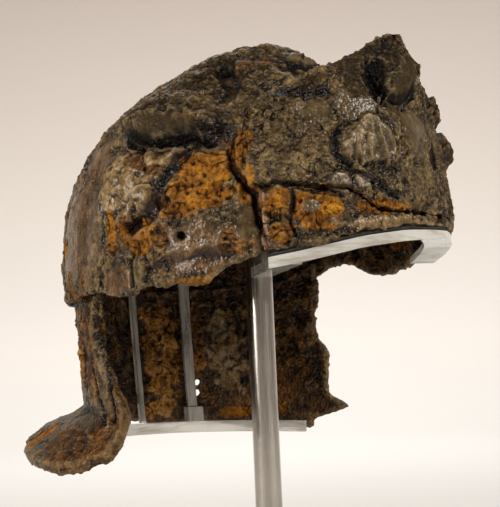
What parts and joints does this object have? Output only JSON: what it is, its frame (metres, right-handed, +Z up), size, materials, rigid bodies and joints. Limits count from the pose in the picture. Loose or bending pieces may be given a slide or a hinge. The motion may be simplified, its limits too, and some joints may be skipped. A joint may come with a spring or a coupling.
{
  "type": "corroded iron helmet on display stand",
  "caption": "Hollow corroded iron helmet with an upright frontal plate, a deep neck guard and a flange lobe, carried by a slim steel post with clear rests on a plain base.",
  "frame": {"origin": "on the floor at the centre of the base plate's underside, on the post's axis", "axes": "+Z up, the brow and the frontal plate face -Y, the wearer's right side with the flange lobe is -X"},
  "size_m": [0.215, 0.2436, 0.3153],
  "materials": {
    "rusted_bowl": "rough brown iron crust with orange rust where it has broken away",
    "rusted_plate": "dark grey-brown iron crust with smoother raised bosses",
    "rusted_band": "smooth greenish grey crust with cracked orange blocks",
    "rusted_neck": "rough brown and orange rust with a smoother olive edge",
    "brushed_steel": "satin",
    "clear_acrylic": "clear and polished",
    "black_foam": "matt"
  },
  "bodies": {
    "root": {"skull_bowl": "rusted_bowl", "diadem": "rusted_plate", "brow_band": "rusted_band", "neck_guard": "rusted_neck", "post": "brushed_steel", "base_plate": "brushed_steel", "strip_bridge": "brushed_steel", "crown_pad": "black_foam", "foam_strip": "black_foam", "brow_rest": "clear_acrylic", "neck_rail": "clear_acrylic", "rail_block": "clear_acrylic", "wide_strip": "clear_acrylic", "narrow_strip": "clear_acrylic"}
  },
  "joints": []
}
